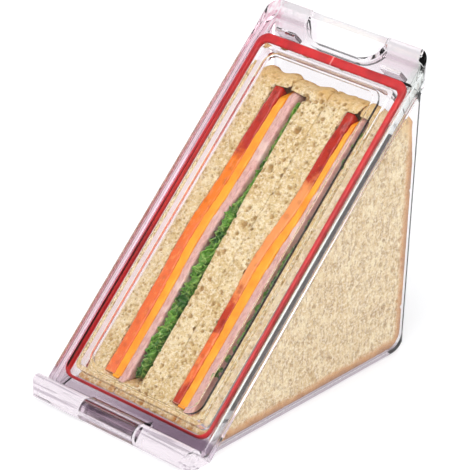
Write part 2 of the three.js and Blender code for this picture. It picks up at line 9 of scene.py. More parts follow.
import bmesh
import bpy
from mathutils import Matrix, Vector, noise


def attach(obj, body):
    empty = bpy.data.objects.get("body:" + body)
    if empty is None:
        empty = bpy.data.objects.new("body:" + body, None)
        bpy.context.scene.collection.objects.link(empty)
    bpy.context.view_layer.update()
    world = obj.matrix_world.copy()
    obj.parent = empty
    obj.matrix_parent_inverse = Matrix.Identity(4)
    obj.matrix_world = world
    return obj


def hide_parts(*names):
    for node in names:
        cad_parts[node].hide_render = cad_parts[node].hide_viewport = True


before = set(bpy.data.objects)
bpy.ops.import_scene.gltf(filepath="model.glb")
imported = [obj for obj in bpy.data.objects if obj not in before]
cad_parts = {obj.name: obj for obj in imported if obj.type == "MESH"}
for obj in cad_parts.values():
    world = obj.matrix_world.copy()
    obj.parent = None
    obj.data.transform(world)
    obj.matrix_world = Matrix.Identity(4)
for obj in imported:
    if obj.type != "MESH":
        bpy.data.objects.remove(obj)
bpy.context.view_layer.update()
LOG = logging.getLogger("sandwich_case")

MM = 0.001
CASE_RISE = 128.0
CASE_DEPTH = 130.0
LID_FOOT = 5.0
HINGE_SIDE_Y = -60.05
SLOPE = math.atan2(CASE_RISE, CASE_DEPTH)
CUT_DEPTH = 10.6
FLOOR_Z = 2.3
BACK_Y = 67.65
UP = Vector((0.0, math.cos(SLOPE), math.sin(SLOPE)))
WELD_MM = 0.004
FLAT_DEGREES = 0.4
SEEN_BY = ("Camera", "Glossy", "Transmission")
SEED_STRIDE = Vector((37.0, 11.0, 23.0))
NOISE_SEED = 1


def on_slope(x: float, v: float, d: float) -> Vector:
    """Place a point of the sloping face's frame in the model.

    Args:
        x: Distance across the case, in millimetres.
        v: Distance up the lid's outer face from its foot, in millimetres.
        d: Depth under that face, in millimetres.

    Returns:
        The point in metres.
    """
    y = v * math.cos(SLOPE) + d * math.sin(SLOPE) + HINGE_SIDE_Y
    z = LID_FOOT + v * math.sin(SLOPE) - d * math.cos(SLOPE)
    return Vector((x, y, z)) * MM


def off_slope(point: Vector) -> tuple[float, float, float]:
    """Read a point of the model in the sloping face's frame.

    Args:
        point: The point, in millimetres.

    Returns:
        Its distance across, up the lid's outer face and under it, in millimetres.
    """
    y = point.y - HINGE_SIDE_Y
    z = point.z - LID_FOOT
    return point.x, y * math.cos(SLOPE) + z * math.sin(SLOPE), y * math.sin(SLOPE) - z * math.cos(SLOPE)


def ease(low: float, high: float, value: float) -> float:
    """Smooth step from 0 at low to 1 at high."""
    t = min(1.0, max(0.0, (value - low) / (high - low)))
    return t * t * (3.0 - 2.0 * t)


class Port:
    """A shader socket that takes part in Python arithmetic."""

    def __init__(self, recipe: "Recipe", socket: bpy.types.NodeSocket) -> None:
        """Keep the socket and the recipe that it belongs to."""
        self.recipe = recipe
        self.socket = socket

    def _maths(self, operation: str, *values: "Port | float") -> "Port":
        """Add one Math node on the given values."""
        inputs = {index: value for index, value in enumerate(values)}
        return self.recipe.add("ShaderNodeMath", {"operation": operation}, inputs)

    def __add__(self, other: "Port | float") -> "Port":
        """Sum."""
        return self._maths("ADD", self, other)

    def __radd__(self, other: float) -> "Port":
        """Sum, with the number first."""
        return self._maths("ADD", other, self)

    def __sub__(self, other: "Port | float") -> "Port":
        """Difference."""
        return self._maths("SUBTRACT", self, other)

    def __rsub__(self, other: float) -> "Port":
        """Difference, with the number first."""
        return self._maths("SUBTRACT", other, self)

    def __mul__(self, other: "Port | float") -> "Port":
        """Product."""
        return self._maths("MULTIPLY", self, other)

    def least(self, other: "Port | float") -> "Port":
        """The smaller of two values."""
        return self._maths("MINIMUM", self, other)

    def most(self, other: "Port | float") -> "Port":
        """The larger of two values."""
        return self._maths("MAXIMUM", self, other)

    def size(self) -> "Port":
        """The value without its sign."""
        return self._maths("ABSOLUTE", self)

    def step(self, low: float, high: float) -> "Port":
        """Smooth step from 0 at low to 1 at high."""
        settings = {"interpolation_type": "SMOOTHSTEP"}
        return self.recipe.add("ShaderNodeMapRange", settings, {"Value": self, "From Min": low, "From Max": high})

    def fall(self, low: float, high: float) -> "Port":
        """Smooth step from 1 at low to 0 at high."""
        return 1.0 - self.step(low, high)


Colour = tuple[float, float, float]


def from_screen(code: str) -> Colour:
    """Turn a six-figure screen colour into linear light."""
    parts = [int(code[place : place + 2], 16) / 255.0 for place in (0, 2, 4)]
    return tuple(part / 12.92 if part <= 0.04045 else ((part + 0.055) / 1.055) ** 2.4 for part in parts)


class Recipe:
    """The nodes of a material or of the world."""

    def __init__(self, owner: bpy.types.Material | bpy.types.World) -> None:
        """Start with no nodes.

        Args:
            owner: The material or world that the nodes belong to.
        """
        self.owner = owner
        owner.use_nodes = True
        self.tree = owner.node_tree
        self.tree.nodes.clear()
        self._place: Port | None = None

    def add(self, kind: str, settings: dict | None = None, inputs: dict | None = None, output: int | str = 0) -> Port:
        """Add a node.

        Args:
            kind: The node's type.
            settings: Properties to set first.
            inputs: Values or ports by socket name or index.
            output: The output that is handed back.

        Returns:
            The chosen output.
        """
        node = self.tree.nodes.new(kind)
        for name, value in (settings or {}).items():
            setattr(node, name, value)
        for name, value in (inputs or {}).items():
            self.feed(node.inputs[name], value)
        return Port(self, node.outputs[output])

    def feed(self, socket: bpy.types.NodeSocket, value: "Port | float | Colour") -> None:
        """Link a port to a socket, or set the socket's value.

        Args:
            socket: The input socket.
            value: The port, or the value.
        """
        if isinstance(value, Port):
            self.tree.links.new(value.socket, socket)
        elif isinstance(value, tuple) and socket.type == "RGBA":
            socket.default_value = (*value, 1.0)
        else:
            socket.default_value = value

    def place(self) -> Port:
        """The point on the object, in metres."""
        if self._place is None:
            self._place = self.add("ShaderNodeTexCoord", output="Object")
        return self._place

    def axis(self, letter: str) -> Port:
        """One coordinate of the point on the object, in millimetres."""
        return self.add("ShaderNodeSeparateXYZ", inputs={0: self.place()}, output=letter) * (1.0 / MM)

    def up_slope(self) -> Port:
        """Distance up the lid's face of the point on the object, in millimetres."""
        return (self.axis("Y") - HINGE_SIDE_Y) * math.cos(SLOPE) + (self.axis("Z") - LID_FOOT) * math.sin(SLOPE)

    def under_slope(self) -> Port:
        """Depth under the lid's face of the point on the object, in millimetres."""
        return (self.axis("Y") - HINGE_SIDE_Y) * math.sin(SLOPE) - (self.axis("Z") - LID_FOOT) * math.cos(SLOPE)

    def stretched(self, along: tuple[float, float, float]) -> Port:
        """The point on the object, scaled by axis."""
        return self.add("ShaderNodeMapping", inputs={"Vector": self.place(), "Scale": along})

    def noise(self, size_mm: float, detail: float = 3.0, rough: float = 0.55, at: Port | None = None) -> Port:
        """Soft noise whose lumps are about the given size across."""
        inputs = {"Vector": at or self.place(), "Scale": 1.0 / (size_mm * MM), "Detail": detail, "Roughness": rough}
        return self.add("ShaderNodeTexNoise", inputs=inputs)

    def cells(self, size_mm: float, feature: str = "F1") -> Port:
        """Distance to the nearest of points about the given size apart, in cell sizes."""
        inputs = {"Vector": self.place(), "Scale": 1.0 / (size_mm * MM)}
        return self.add("ShaderNodeTexVoronoi", {"feature": feature}, inputs, "Distance")

    def mark(self, name: str) -> Port:
        """A value that the mesh carries at its points."""
        settings = {"attribute_type": "GEOMETRY", "attribute_name": name}
        return self.add("ShaderNodeAttribute", settings, output="Fac")

    def blend(self, share: "Port | float", first: "Port | Colour", second: "Port | Colour") -> Port:
        """Mix two colours."""
        return self.add("ShaderNodeMix", {"data_type": "RGBA"}, {0: share, 6: first, 7: second}, 2)

    def relief(self, height: Port, depth_mm: float, strength: float) -> Port:
        """Bump from a height of 0 to 1 that stands for the given depth."""
        inputs = {"Height": height, "Distance": depth_mm * MM, "Strength": strength}
        return self.add("ShaderNodeBump", inputs=inputs)

    def surface(self, values: dict) -> Port:
        """Add the main shader with the given socket values."""
        return self.add("ShaderNodeBsdfPrincipled", inputs=values)

    def is_ray(self, *kinds: str) -> Port:
        """One for rays of any of the given kinds, and 0 for others."""
        rays = [self.add("ShaderNodeLightPath", output=f"Is {kind} Ray") for kind in kinds]
        return reduce(Port.most, rays)

    def finish(self, shader: Port) -> bpy.types.Material | bpy.types.World:
        """Send the shader to the output.

        Args:
            shader: The shader of the whole surface or sky.

        Returns:
            The finished material or world.
        """
        kind = "World" if isinstance(self.owner, bpy.types.World) else "Material"
        node = self.tree.nodes.new(f"ShaderNodeOutput{kind}")
        self.feed(node.inputs["Surface"], shader)
        return self.owner


@dataclass(frozen=True)
class ClearPlastic:
    """Moulded clear plastic: bare on its faces, with painted reflections in its rim and painted lines at its sides.

    The base colour carries the plastic's own slight tint on the broad faces, a painted pink reflection of the red
    ring in the rim's left side and top and a painted grey reflection in its right side, painted shade and painted
    dark streaks at the foot and in the knuckles, a painted dark band along the lid's foot, a darker tint towards
    the bottom, and painted shade where a face turns away. The side walls of the rim carry painted pink refraction
    lines on one side and painted grey ones on the other.
    """

    name: str = "clear_plastic"
    face_tint: Colour = (0.975, 0.96, 0.968)
    pink_reflection_tint: Colour = (0.90, 0.84, 0.87)
    grey_reflection_tint: Colour = (0.80, 0.82, 0.80)
    hinge_painted_shade: Colour = (0.78, 0.71, 0.76)
    band_painted_shade: Colour = (0.40, 0.31, 0.39)
    base_tint: Colour = (0.50, 0.42, 0.48)
    knuckle_painted_streak: Colour = (0.22, 0.17, 0.22)
    pink_refraction_line: Colour = (0.84, 0.47, 0.57)
    grey_refraction_line: Colour = (0.46, 0.49, 0.48)
    grazing_painted_shade: Colour = (0.36, 0.29, 0.34)
    bend: float = 1.47
    polish: float = 0.012
    rim_depth: tuple[float, float] = (7.0, 10.0)
    seen_edge: tuple[float, float] = (0.58, 0.97)
    shine: float = 0.16

    def build(self) -> bpy.types.Material:
        """Make the material.

        Returns:
            The finished material.
        """
        recipe = Recipe(bpy.data.materials.new(self.name))
        flow = recipe.noise(26.0, 2.0)
        scuff = recipe.noise(1.6, 4.0, 0.7, recipe.stretched((1.0, 0.25, 0.25)))
        rough = self.polish + scuff.step(0.56, 0.8) * 0.05
        bump = recipe.relief(flow, 0.12, 0.35)
        # Where a face turns away from the view, the base colour takes painted shade.
        turned = recipe.add("ShaderNodeLayerWeight", inputs={"Blend": 0.5}, output="Facing")
        up = recipe.up_slope()
        under = recipe.under_slope()
        shallow = under.fall(*self.rim_depth)
        x = recipe.axis("X")
        notch = x.size().fall(14.0, 17.0) * up.step(163.0, 167.0)
        sides = (x * -1.0).step(31.5, 35.0).most(x.step(37.8, 39.4))
        rim = sides.most(up.step(158.0, 163.0) * (1.0 - notch)) * shallow
        # Painted reflections in the rim: pink for the red ring in its left side and top, grey in its right side.
        painted_reflection = recipe.blend(x.step(35.0, 38.0), self.pink_reflection_tint, self.grey_reflection_tint)
        cast = recipe.blend(rim * (0.55 + flow * 0.8), self.face_tint, painted_reflection)
        # Painted refraction lines of the red ring in the rim's side walls: pink on the left, grey on the right.
        section = recipe.add("ShaderNodeCombineXYZ", inputs={"X": x * MM, "Y": under * MM})
        lines = recipe.noise(1.2, 1.0, 0.5, section).step(0.52, 0.58)
        line_tint = recipe.blend(x.step(-5.0, 5.0), self.pink_refraction_line, self.grey_refraction_line)
        cast = recipe.blend(sides * shallow * lines * 0.75, cast, line_tint)
        # Darker towards the bottom.
        cast = recipe.blend(recipe.axis("Z").fall(1.8, 3.0), cast, self.base_tint)
        # Painted shade at the foot and along the hinge, standing for dark surroundings seen through the plastic.
        foot = up.fall(2.0, 13.0) * shallow.most(recipe.axis("Y").fall(-60.0, -58.0))
        cast = recipe.blend(foot, cast, self.hinge_painted_shade)
        # Painted dark band along the lid's foot, stronger to the right.
        band = up.step(0.5, 1.5) * up.fall(5.5, 7.0) * (x + flow * 20.0).step(-30.0, 40.0)
        cast = recipe.blend(band * 0.9, cast, self.band_painted_shade)
        # Painted dark streaks along the knuckles, standing for refraction lines.
        streaks = recipe.noise(1.3, 2.0, 0.5, recipe.stretched((0.035, 1.0, 1.0)))
        knuckle = recipe.axis("Y").fall(-61.5, -59.5)
        cast = recipe.blend(knuckle * streaks.step(0.55, 0.62) * 0.85, cast, self.knuckle_painted_streak)
        glass = recipe.surface({
            "Base Color": recipe.blend(turned.step(*self.seen_edge), cast, self.grazing_painted_shade),
            "Roughness": rough,
            "IOR": self.bend,
            "Specular IOR Level": self.shine,
            "Transmission Weight": 1.0,
            "Normal": bump,
        })
        open_air = recipe.add("ShaderNodeBsdfTransparent", inputs={"Color": (0.95, 0.945, 0.945)})
        inputs = {0: recipe.is_ray("Shadow"), 1: glass, 2: open_air}
        return recipe.finish(recipe.add("ShaderNodeMixShader", inputs=inputs))


@dataclass(frozen=True)
class Silicone:
    """Soft red gasket rubber with a satin face and a pale joint line at its top."""

    name: str = "silicone"
    red: Colour = from_screen("DC1F22")
    deep: Colour = from_screen("B8121A")
    joint: Colour = from_screen("F3A8A4")

    def build(self) -> bpy.types.Material:
        """Make the material.

        Returns:
            The finished material.
        """
        recipe = Recipe(bpy.data.materials.new(self.name))
        mottle = recipe.noise(7.0, 3.0)
        grain = recipe.noise(0.5, 2.0)
        body = recipe.blend(mottle.step(0.3, 0.75), self.red, self.deep)
        x = recipe.axis("X")
        z = recipe.axis("Z")
        joint = x.size().fall(0.15, 0.5) * z.step(114.0, 115.0)
        colour = recipe.blend(joint * 0.75, body, self.joint)
        bump = recipe.relief(grain, 0.03, 0.5)
        shader = recipe.surface({
            "Base Color": colour,
            "Roughness": 0.34 + mottle * 0.12,
            "Subsurface Weight": 0.15,
            "Subsurface Radius": (0.002, 0.0006, 0.0004),
            "Coat Weight": 0.25,
            "Coat Roughness": 0.25,
            "Normal": bump,
        })
        return recipe.finish(shader)


@dataclass(frozen=True)
class Bread:
    """White bread: open speckled crumb with painted shade in its pores and pits, and brown crust along the floor and
    the back.
    """

    name: str = "bread"
    crumb: Colour = from_screen("F1E0B2")
    shade: Colour = from_screen("D6B87C")
    light: Colour = from_screen("FBF0D4")
    pore_shade_and_tone: Colour = from_screen("B28C50")
    speck: Colour = from_screen("9C7038")
    crust: Colour = from_screen("CE924A")
    dark_crust: Colour = from_screen("99612C")
    tip_crust: Colour = from_screen("E6BC74")

    def build(self) -> bpy.types.Material:
        """Make the material.

        Returns:
            The finished material.
        """
        recipe = Recipe(bpy.data.materials.new(self.name))
        x = recipe.axis("X")
        y = recipe.axis("Y")
        z = recipe.axis("Z")
        patch = recipe.noise(11.0, 4.0)
        fine = recipe.noise(1.3, 4.0, 0.7)
        grit = recipe.noise(0.55, 2.0, 0.6)
        pores = recipe.cells(1.9)
        pits = recipe.cells(0.8)
        dots = recipe.cells(3.1)
        mottle = recipe.noise(3.4, 4.0, 0.65)
        streak = recipe.noise(2.4, 4.0, 0.65, recipe.stretched((1.0, 1.0, 0.45)))
        ragged = (z - FLOOR_Z).least(BACK_Y - y) + (patch - 0.5) * 5.0 + (fine - 0.5) * 1.6
        ragged = ragged + y.fall(-46.0, -40.0) * (3.0 + (mottle - 0.5) * 12.0)
        crusted = ragged.fall(2.2, 5.4)
        browned = ragged.fall(0.2, 3.4)
        tip = (recipe.up_slope() + (patch - 0.5) * 12.0).step(149.0, 157.0)
        crumb = recipe.blend(patch.step(0.38, 0.66) * 0.7, self.crumb, self.shade)
        flank = x.size().step(34.6, 35.4)
        crumb = recipe.blend(mottle.step(0.42, 0.58) * (0.5 + flank * 0.35), crumb, self.shade)
        crumb = recipe.blend(streak.fall(0.4, 0.5) * (0.35 + flank * 0.4), crumb, self.pore_shade_and_tone)
        crumb = recipe.blend(fine.step(0.47, 0.6) * 0.75, crumb, self.light)
        # Painted shade in the pores of the pattern; the same dark colour also gives the streaks and grit their tone.
        pore_shade = (pores + (fine - 0.5) * 0.5).fall(0.12, 0.34)
        crumb = recipe.blend(pore_shade * 0.6, crumb, self.pore_shade_and_tone)
        crumb = recipe.blend(grit.fall(0.34, 0.46) * 0.45, crumb, self.pore_shade_and_tone)
        specks = (dots + (grit - 0.5) * 0.3).fall(0.06, 0.17)
        crumb = recipe.blend(specks * 0.7, crumb, self.speck)
        crumb = recipe.blend(tip * (0.5 + mottle * 0.5), crumb, self.tip_crust)
        # Painted shade in the pressed-in pores and craters of the mesh.
        crumb = recipe.blend(recipe.mark("pit_shade") * 0.8, crumb, self.pore_shade_and_tone)
        crust = recipe.blend(browned * (0.45 + fine * 0.7), self.crust, self.dark_crust)
        colour = recipe.blend(crusted, crumb, crust)
        height = pores.step(0.05, 0.45) * 0.6 + pits.step(0.0, 0.5) * 0.35 + fine * 0.5
        bump = recipe.relief(height, 0.55, 0.9)
        shader = recipe.surface({
            "Base Color": colour,
            "Roughness": 0.88 - crusted * 0.22,
            "Subsurface Weight": 0.08,
            "Subsurface Radius": (0.003, 0.002, 0.0012),
            "Specular IOR Level": 0.3,
            "Normal": bump,
        })
        return recipe.finish(shader)


@dataclass(frozen=True)
class TomatoFlesh:
    """Wet tomato slices, deep red near the top of the wedge and orange to pale coral lower down."""

    name: str = "tomato"
    ripe: Colour = from_screen("B61E00")
    orange: Colour = from_screen("F27E00")
    coral: Colour = from_screen("EE7032")
    pale: Colour = from_screen("F89E58")
    skin: Colour = from_screen("8E1204")

    def build(self) -> bpy.types.Material:
        """Make the material.

        Returns:
            The finished material.
        """
        recipe = Recipe(bpy.data.materials.new(self.name))
        lumps = recipe.noise(6.0, 3.0)
        veins = recipe.noise(2.0, 3.0, 0.6, recipe.stretched((1.6, 0.6, 0.6)))
        gel = recipe.cells(4.0, "SMOOTH_F1")
        place = recipe.up_slope() + (lumps - 0.5) * 26.0
        second = recipe.axis("X").step(-1.0, 1.0)
        flesh = recipe.blend(place.step(70.0, 96.0), self.coral, self.orange)
        flesh = recipe.blend(second * place.step(58.0, 66.0), flesh, self.pale)
        flesh = recipe.blend(veins.step(0.5, 0.66) * 0.6, flesh, self.pale)
        low_red = place.step(44.0, 50.0) * place.fall(58.0, 66.0)
        red = place.step(114.0, 124.0).most(second * low_red.most(place.fall(22.0, 30.0)) * 0.85)
        flesh = recipe.blend(red, flesh, self.ripe)
        flesh = recipe.blend(gel.fall(0.1, 0.36) * (0.25 + red * 0.5), flesh, self.skin)
        flesh = recipe.blend(veins.step(0.62, 0.74) * red * 0.5, flesh, self.coral)
        bump = recipe.relief(lumps * 0.6 + veins * 0.4, 0.5, 0.7)
        shader = recipe.surface({
            "Base Color": flesh,
            "Roughness": 0.16 + veins * 0.16,
            "Subsurface Weight": 0.15,
            "Subsurface Radius": (0.003, 0.0008, 0.0004),
            "Coat Weight": 0.4,
            "Coat Roughness": 0.08,
            "Normal": bump,
        })
        return recipe.finish(shader)


@dataclass(frozen=True)
class CheeseSlice:
    """Smooth orange processed cheese with a satin face."""

    name: str = "cheese"
    orange: Colour = from_screen("FFB01C")
    deep: Colour = from_screen("FA960E")

    def build(self) -> bpy.types.Material:
        """Make the material.

        Returns:
            The finished material.
        """
        recipe = Recipe(bpy.data.materials.new(self.name))
        waves = recipe.noise(8.0, 3.0)
        grain = recipe.noise(0.7, 2.0)
        colour = recipe.blend(waves.step(0.35, 0.7), self.orange, self.deep)
        bump = recipe.relief(waves * 0.7 + grain * 0.3, 0.25, 0.5)
        shader = recipe.surface({
            "Base Color": colour,
            "Roughness": 0.38 + grain * 0.12,
            "Subsurface Weight": 0.35,
            "Subsurface Radius": (0.004, 0.002, 0.0006),
            "Normal": bump,
        })
        return recipe.finish(shader)


@dataclass(frozen=True)
class HamSlice:
    """Moist pink ham with a fine pressed grain and paler fat."""

    name: str = "ham"
    pink: Colour = from_screen("E2B8AE")
    rose: Colour = from_screen("CC9890")
    fat: Colour = from_screen("F2DACE")

    def build(self) -> bpy.types.Material:
        """Make the material.

        Returns:
            The finished material.
        """
        recipe = Recipe(bpy.data.materials.new(self.name))
        grain = recipe.noise(1.6, 4.0, 0.6, recipe.stretched((2.2, 0.7, 0.7)))
        broad = recipe.noise(10.0, 2.0)
        colour = recipe.blend(grain.step(0.4, 0.65), self.pink, self.rose)
        colour = recipe.blend(broad.step(0.58, 0.72) * 0.6, colour, self.fat)
        bump = recipe.relief(grain, 0.25, 0.6)
        shader = recipe.surface({
            "Base Color": colour,
            "Roughness": 0.36 + grain * 0.2,
            "Subsurface Weight": 0.3,
            "Subsurface Radius": (0.004, 0.0016, 0.001),
            "Coat Weight": 0.2,
            "Normal": bump,
        })
        return recipe.finish(shader)


@dataclass(frozen=True)
class LettuceLeaf:
    """Thin frilled lettuce with pale veins and a moist face."""

    name: str = "lettuce"
    green: Colour = from_screen("6CA632")
    dark: Colour = from_screen("275C14")
    vein: Colour = from_screen("B4D070")
    fresh: Colour = from_screen("A2C858")

    def build(self) -> bpy.types.Material:
        """Make the material.

        Returns:
            The finished material.
        """
        recipe = Recipe(bpy.data.materials.new(self.name))
        broad = recipe.noise(11.0, 3.0)
        fine = recipe.noise(1.4, 3.0)
        web = recipe.cells(5.0, "DISTANCE_TO_EDGE")
        colour = recipe.blend(broad.step(0.36, 0.66), self.dark, self.green)
        colour = recipe.blend(web.fall(0.01, 0.09) * 0.55, colour, self.vein)
        colour = recipe.blend(fine.step(0.55, 0.75) * 0.35, colour, self.fresh)
        bump = recipe.relief(web.step(0.0, 0.2) * 0.6 + fine * 0.4, 0.3, 0.7)
        shader = recipe.surface({
            "Base Color": colour,
            "Roughness": 0.34 + fine * 0.2,
            "Subsurface Weight": 0.15,
            "Subsurface Radius": (0.001, 0.002, 0.0005),
            "Coat Weight": 0.25,
            "Normal": bump,
        })
        return recipe.finish(shader)


@dataclass(frozen=True)
class StagePaper:
    """White paper that keeps shadows, and glows to the camera and the plastic more with distance."""

    name: str = "stage_paper"
    lift: float = 0.45
    near_glow: Colour = (0.45, 0.45, 0.45)
    far_glow: Colour = (1.0, 1.0, 1.0)
    far_square_m: tuple[float, float] = (0.02, 0.6)

    def build(self) -> bpy.types.Material:
        """Make the material.

        Returns:
            The finished material.
        """
        recipe = Recipe(bpy.data.materials.new(self.name))
        tooth = recipe.noise(1.2, 3.0)
        away = recipe.axis("X") * recipe.axis("X") + recipe.axis("Y") * recipe.axis("Y")
        far = (away * (MM * MM)).step(*self.far_square_m)
        glow = recipe.blend(far, self.near_glow, self.far_glow)
        colour = recipe.blend(tooth, (0.93, 0.93, 0.93), (0.95, 0.95, 0.95))
        matt = {"Base Color": colour, "Roughness": 0.9, "Specular IOR Level": 0.1}
        plain = recipe.surface(matt)
        lifted = recipe.surface({**matt, "Emission Color": glow, "Emission Strength": self.lift})
        seen = recipe.is_ray(*SEEN_BY)
        return recipe.finish(recipe.add("ShaderNodeMixShader", inputs={0: seen, 1: plain, 2: lifted}))


class Layer(Enum):
    """The finish of each kind of piece, whose name is also its slot."""

    BREAD = Bread()
    TOMATO = TomatoFlesh()
    CHEESE = CheeseSlice()
    HAM = HamSlice()
    LETTUCE = LettuceLeaf()
    SHELL = ClearPlastic()
    SEAL = Silicone()


PAINTS: dict[Layer, bpy.types.Material] = {}


def paint_of(layer: Layer) -> bpy.types.Material:
    """Find the material of a layer, which is made once.

    Args:
        layer: The finish.

    Returns:
        Its material.
    """
    if layer not in PAINTS:
        PAINTS[layer] = layer.value.build()
    return PAINTS[layer]


def show(name: str, mesh: bpy.types.Mesh, layer: Layer, body: str, node: str) -> bpy.types.Object:
    """Put a mesh in the scene as the piece that stands for a CAD node.

    Args:
        name: The piece's name.
        mesh: Its mesh, in metres in the model's frame.
        layer: Its finish.
        body: The CAD body that it rides on.
        node: The CAD node that it replaces.

    Returns:
        The new object.
    """
    piece = bpy.data.objects.new(name, mesh)
    bpy.context.scene.collection.objects.link(piece)
    mesh.materials.clear()
    mesh.materials.append(paint_of(layer))
    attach(piece, body)
    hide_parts(node)
    return piece


def joined_mesh(node: str) -> bmesh.types.BMesh:
    """Copy a CAD node's mesh with its flat faces whole.

    Args:
        node: The CAD node.

    Returns:
        The joined mesh.
    """
    mesh = bmesh.new()
    mesh.from_mesh(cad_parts[node].data)
    bmesh.ops.remove_doubles(mesh, verts=mesh.verts, dist=WELD_MM * MM)
    bmesh.ops.dissolve_limit(mesh, angle_limit=math.radians(FLAT_DEGREES), verts=mesh.verts, edges=mesh.edges)
    return mesh


def as_mesh(source: bmesh.types.BMesh, name: str, sharp_angle: float | None = None) -> bpy.types.Mesh:
    """Write a bmesh to a new smooth mesh and free it.

    Args:
        source: The bmesh.
        name: The mesh's name.
        sharp_angle: Edges over this angle, in degrees, stay sharp. None leaves all smooth.

    Returns:
        The mesh.
    """
    mesh = bpy.data.meshes.new(name)
    source.to_mesh(mesh)
    source.free()
    mesh.shade_smooth()
    if sharp_angle is not None:
        mesh.set_sharp_from_angle(angle=math.radians(sharp_angle))
    return mesh


def evened(mesh: bpy.types.Mesh, voxel_mm: float) -> bmesh.types.BMesh:
    """Remesh a closed mesh into even small faces.

    Args:
        mesh: The closed mesh, which is used up.
        voxel_mm: The size of the faces.

    Returns:
        The even mesh.
    """
    holder = bpy.data.objects.new("evening", mesh)
    bpy.context.scene.collection.objects.link(holder)
    remesh = holder.modifiers.new("even", "REMESH")
    remesh.mode = "VOXEL"
    remesh.voxel_size = voxel_mm * MM
    bpy.context.view_layer.update()
    result = holder.evaluated_get(bpy.context.evaluated_depsgraph_get()).to_mesh()
    even = bmesh.new()
    even.from_mesh(result)
    bpy.data.objects.remove(holder)
    return even


@dataclass
class PlasticPiece:
    """A clear moulded piece with smooth rounds."""

    node: str
    body: str
    sharp_angle: float = 32.0

    def build(self) -> bpy.types.Object:
        """Make the piece from its CAD node.

        Returns:
            The new object.
        """
        mesh = as_mesh(joined_mesh(self.node), f"{self.node}_clear", self.sharp_angle)
        piece = show(f"{self.node}_clear", mesh, Layer.SHELL, self.body, self.node)
        return self.dress(piece)

    def dress(self, piece: bpy.types.Object) -> bpy.types.Object:
        """Keep the flat faces flat where rounds meet them.

        Args:
            piece: The piece.

        Returns:
            The same piece.
        """
        even = piece.modifiers.new("flat_faces", "WEIGHTED_NORMAL")
        even.mode = "FACE_AREA"
        even.keep_sharp = True
        return piece


@dataclass
class GasketRing:
    """The red ring that seals the lid."""

    node: str = "gasket"
    body: str = "lid"
    edge_mm: float = 0.3
    slim_mm: float = 1.3
    full_above_v: float = 148.0
    taper_v: float = 8.0

    def build(self) -> bpy.types.Object:
        """Make the ring from its CAD node.

        Returns:
            The new object.
        """
        ring = joined_mesh(self.node)
        self.slim(ring)
        mesh = as_mesh(ring, "gasket_ring", 30.0)
        piece = show("gasket_ring", mesh, Layer.SEAL, self.body, self.node)
        return self.dress(piece)

    def slim(self, ring: bmesh.types.BMesh) -> None:
        """Move the ring's inner wall outwards, so that its sides and foot are thin lines.

        Args:
            ring: The ring's mesh.
        """
        ring.normal_update()
        middle_v = sum(off_slope(vert.co / MM)[1] for vert in ring.verts) / len(ring.verts)
        for vert in ring.verts:
            x, v, _ = off_slope(vert.co / MM)
            across, along = vert.normal.x, vert.normal.dot(UP)
            inward = across * x + along * (v - middle_v)
            reach = math.hypot(across, along)
            if inward < 0.0 and reach > 0.1:
                kept = ease(self.full_above_v - self.taper_v, self.full_above_v, v)
                share = self.slim_mm * (1.0 - kept) / reach
                vert.co -= (Vector((across, 0.0, 0.0)) + UP * along) * share * MM

    def dress(self, piece: bpy.types.Object) -> bpy.types.Object:
        """Round the ring's edges.

        Args:
            piece: The ring.

        Returns:
            The same piece.
        """
        bevel = piece.modifiers.new("edges", "BEVEL")
        bevel.width = self.edge_mm * MM
        bevel.segments = 3
        bevel.limit_method = "ANGLE"
        bevel.angle_limit = math.radians(50.0)
        return piece


